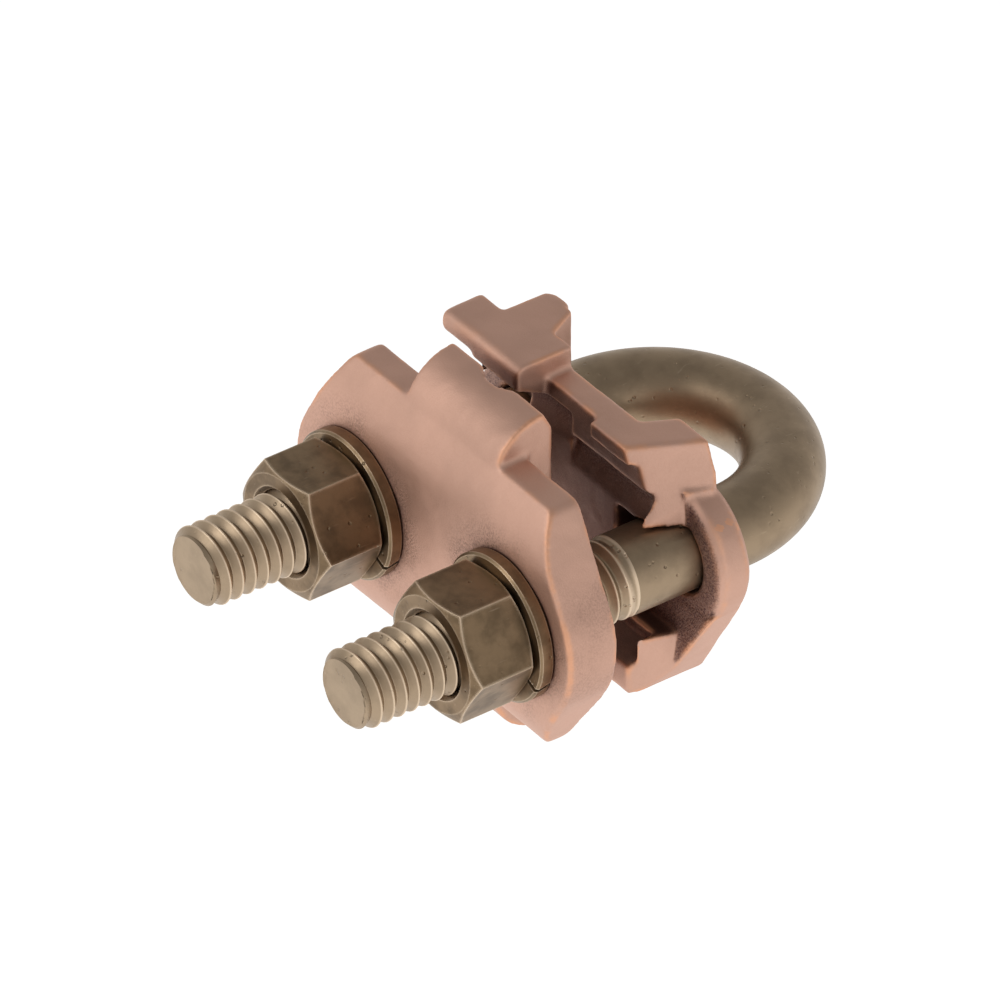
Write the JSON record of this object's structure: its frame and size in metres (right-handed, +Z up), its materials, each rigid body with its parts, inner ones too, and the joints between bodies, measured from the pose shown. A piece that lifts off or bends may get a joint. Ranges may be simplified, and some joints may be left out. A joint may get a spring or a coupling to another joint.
{
  "type": "pipe grounding clamp",
  "caption": "U-bolt grounding clamp with cast saddle and cap, for a pipe and a parallel stranded conductor.",
  "frame": {"origin": "on the axis of the clamped pipe, level with the two legs of the U-bolt", "axes": "+Z up the pipe and the conductor, +X from the left leg to the right leg, the nuts on the -Y side"},
  "size_m": [0.0638, 0.0888, 0.052],
  "materials": {
    "bronze_bolt": "satin, aged bronze",
    "bronze_nut": "satin, aged bronze with bright edges",
    "bronze_washer": "satin, aged bronze",
    "cast_copper": "matt, as cast copper alloy"
  },
  "bodies": {
    "u_bolt": {"u_bolt": "bronze_bolt"},
    "saddle": {"saddle": "cast_copper"},
    "cap": {"cap": "cast_copper"},
    "left_washer": {"left_lock_washer": "bronze_washer"},
    "right_washer": {"right_lock_washer": "bronze_washer"},
    "left_nut": {"left_nut": "bronze_nut"},
    "right_nut": {"right_nut": "bronze_nut"}
  },
  "joints": [
    {"name": "saddle_slide", "type": "slide", "parent": "u_bolt", "child": "saddle", "axis": [0, 1, 0], "range_m": [-0.0025, 0.0035]},
    {"name": "cap_slide", "type": "slide", "parent": "u_bolt", "child": "cap", "axis": [0, 1, 0], "range_m": [0, 0.0028]},
    {"name": "left_nut_travel", "type": "slide", "parent": "u_bolt", "child": "left_washer", "axis": [0, -1, 0], "range_m": [0, 0.0105]},
    {"name": "left_nut_turn", "type": "hinge", "parent": "left_washer", "child": "left_nut", "pos_m": [-0.0175, -0.045, 0], "axis": [0, -1, 0], "range_deg": [0, 1800]},
    {"name": "right_nut_travel", "type": "slide", "parent": "u_bolt", "child": "right_washer", "axis": [0, -1, 0], "range_m": [0, 0.0105]},
    {"name": "right_nut_turn", "type": "hinge", "parent": "right_washer", "child": "right_nut", "pos_m": [0.0175, -0.045, 0], "axis": [0, -1, 0], "range_deg": [0, 1800]}
  ],
  "couplings": [
    {"joint": "left_nut_travel", "follows": "left_nut_turn", "m_per_rad": 0.00033423},
    {"joint": "right_nut_travel", "follows": "right_nut_turn", "m_per_rad": 0.00033423}
  ]
}
